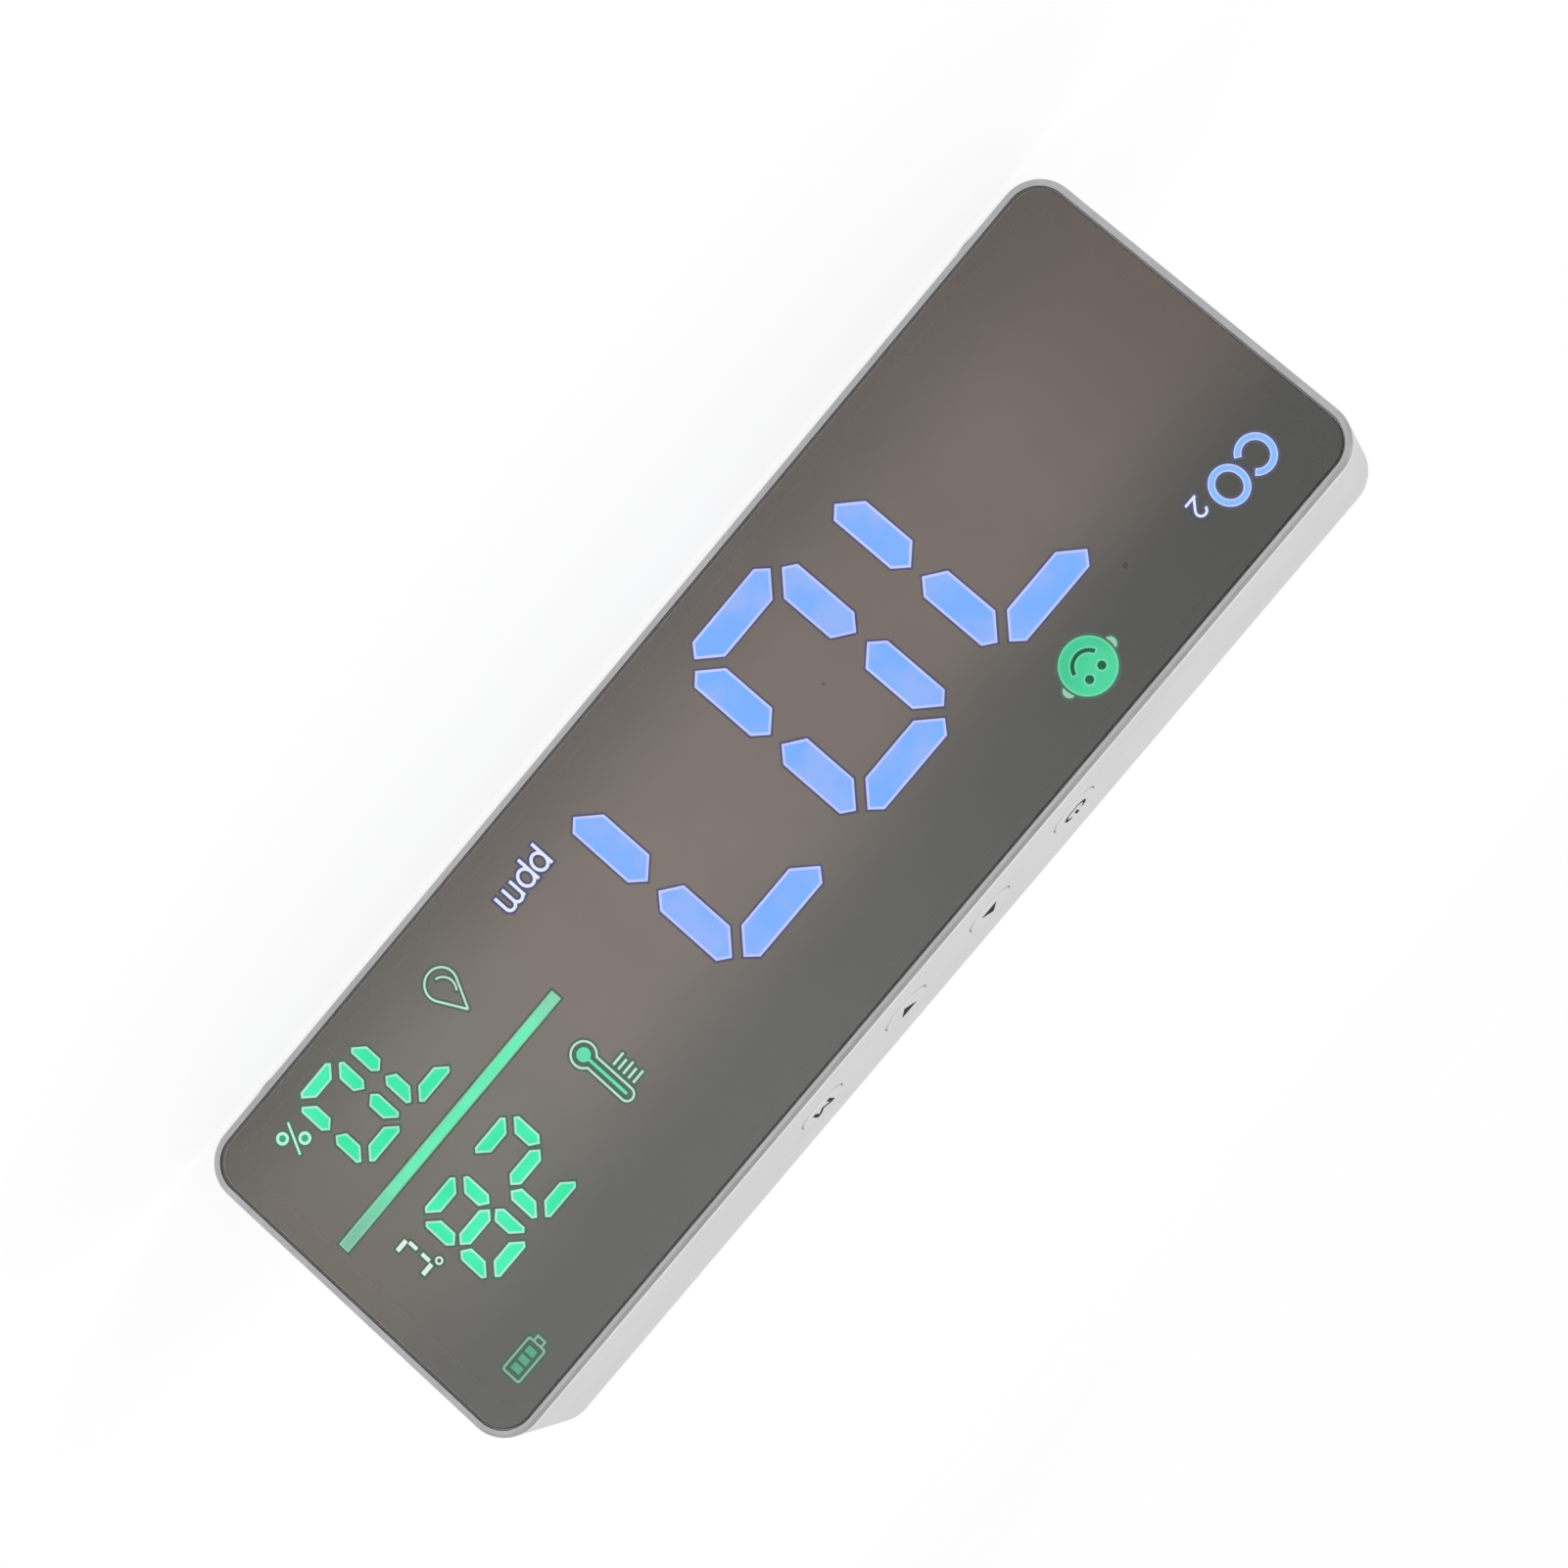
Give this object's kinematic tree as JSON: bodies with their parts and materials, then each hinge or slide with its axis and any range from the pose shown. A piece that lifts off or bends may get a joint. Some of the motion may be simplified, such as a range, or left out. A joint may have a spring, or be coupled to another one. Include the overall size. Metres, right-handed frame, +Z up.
{
  "type": "air quality monitor",
  "caption": "Slim box-shaped CO2 monitor with a half-mirror front over a lit display, press buttons along its top, rear vents and keyholes for desk or wall use.",
  "frame": {"origin": "under the middle of the body, on the surface that the rubber feet stand on", "axes": "+X to the right as the display is read, +Y from the mirror front to the back, +Z up through the buttons"},
  "size_m": [0.2, 0.031, 0.0672],
  "materials": {
    "silver_frame": "silver-grey plated plastic, satin",
    "half_mirror": "half-mirror film on clear acrylic, polished",
    "black_tape": "black foam tape",
    "black_plastic": "black moulded plastic, matte",
    "diffuser_sheet": "smoked diffuser sheet",
    "lit_blue": "diffuser lit blue",
    "lit_pale_blue": "diffuser lit pale blue",
    "lit_green": "diffuser lit green",
    "lit_face_green": "diffuser lit deep green",
    "lit_pale_green": "diffuser dimly lit green",
    "unlit_bar": "smoked diffuser, unlit",
    "white_shell": "light grey-white ABS, fine matte texture",
    "button_cap": "light grey-white ABS, smooth",
    "foot_rubber": "dark grey rubber",
    "screw_steel": "zinc plated steel",
    "mesh_fabric": "black nonwoven mesh",
    "white_board": "white solder mask on glass-epoxy board",
    "green_board": "green solder mask on glass-epoxy board",
    "led_package": "white LED package with yellow lens",
    "chip_black": "black epoxy package",
    "plunger_plastic": "black nylon",
    "gold_cell": "gold-plated sensor chamber",
    "filter_white": "white membrane",
    "cell_pouch": "aluminium pouch, satin",
    "socket_ivory": "ivory nylon",
    "ribbon_white": "white flat cable",
    "wire_red": "red insulated wire",
    "wire_black": "black insulated wire",
    "wire_grey": "grey insulated wire"
  },
  "bodies": {
    "monitor": {"front_frame": "silver_frame", "mirror_lens": "half_mirror", "lens_tape": "black_tape", "light_box": "black_plastic", "mark_middles": "black_plastic", "mark_diffusers": "diffuser_sheet", "co2_bars": "lit_blue", "co2_name": "lit_pale_blue", "climate_bars": "lit_green", "divider_bar": "lit_green", "face_mark": "lit_face_green", "icon_outlines": "lit_pale_green", "icon_fills": "lit_green", "unlit_bars": "unlit_bar", "led_board": "white_board", "light_sensor": "chip_black", "display_leds": "led_package", "driver_chips": "chip_black", "main_housing": "white_shell", "rear_cover": "white_shell", "rubber_feet": "foot_rubber", "cover_screws": "screw_steel", "dust_mesh": "mesh_fabric", "key_switches": "chip_black", "switch_plates": "screw_steel", "key_board": "green_board", "board_screws": "screw_steel", "sensor_board": "green_board", "sensor_cell": "gold_cell", "sensor_filter": "filter_white", "climate_board": "green_board", "climate_sensor": "chip_black", "battery_cell": "cell_pouch", "battery_tape": "black_tape", "battery_guard": "green_board", "main_board": "green_board", "main_chips": "chip_black", "power_coil": "chip_black", "buzzer": "chip_black", "usb_shell": "screw_steel", "usb_tongue": "chip_black", "cable_sockets": "socket_ivory", "display_ribbon": "ribbon_white", "battery_lead_red": "wire_red", "battery_lead_black": "wire_black", "key_cable": "wire_grey", "climate_cable": "wire_grey", "sensor_cable": "ribbon_white"},
    "button_power": {"button_power": "button_cap", "plunger_power": "plunger_plastic"},
    "button_up": {"button_up": "button_cap", "plunger_up": "plunger_plastic"},
    "button_down": {"button_down": "button_cap", "plunger_down": "plunger_plastic"},
    "button_mode": {"button_mode": "button_cap", "plunger_mode": "plunger_plastic"}
  },
  "joints": [
    {"name": "power_press", "type": "slide", "parent": "monitor", "child": "button_power", "axis": [0, 0, -1], "range_m": [0, 0.0005], "stiffness_N_per_m": 1500, "springref_m": -0.0002},
    {"name": "up_press", "type": "slide", "parent": "monitor", "child": "button_up", "axis": [0, 0, -1], "range_m": [0, 0.0005], "stiffness_N_per_m": 1500, "springref_m": -0.0002},
    {"name": "down_press", "type": "slide", "parent": "monitor", "child": "button_down", "axis": [0, 0, -1], "range_m": [0, 0.0005], "stiffness_N_per_m": 1500, "springref_m": -0.0002},
    {"name": "mode_press", "type": "slide", "parent": "monitor", "child": "button_mode", "axis": [0, 0, -1], "range_m": [0, 0.0005], "stiffness_N_per_m": 1500, "springref_m": -0.0002}
  ]
}
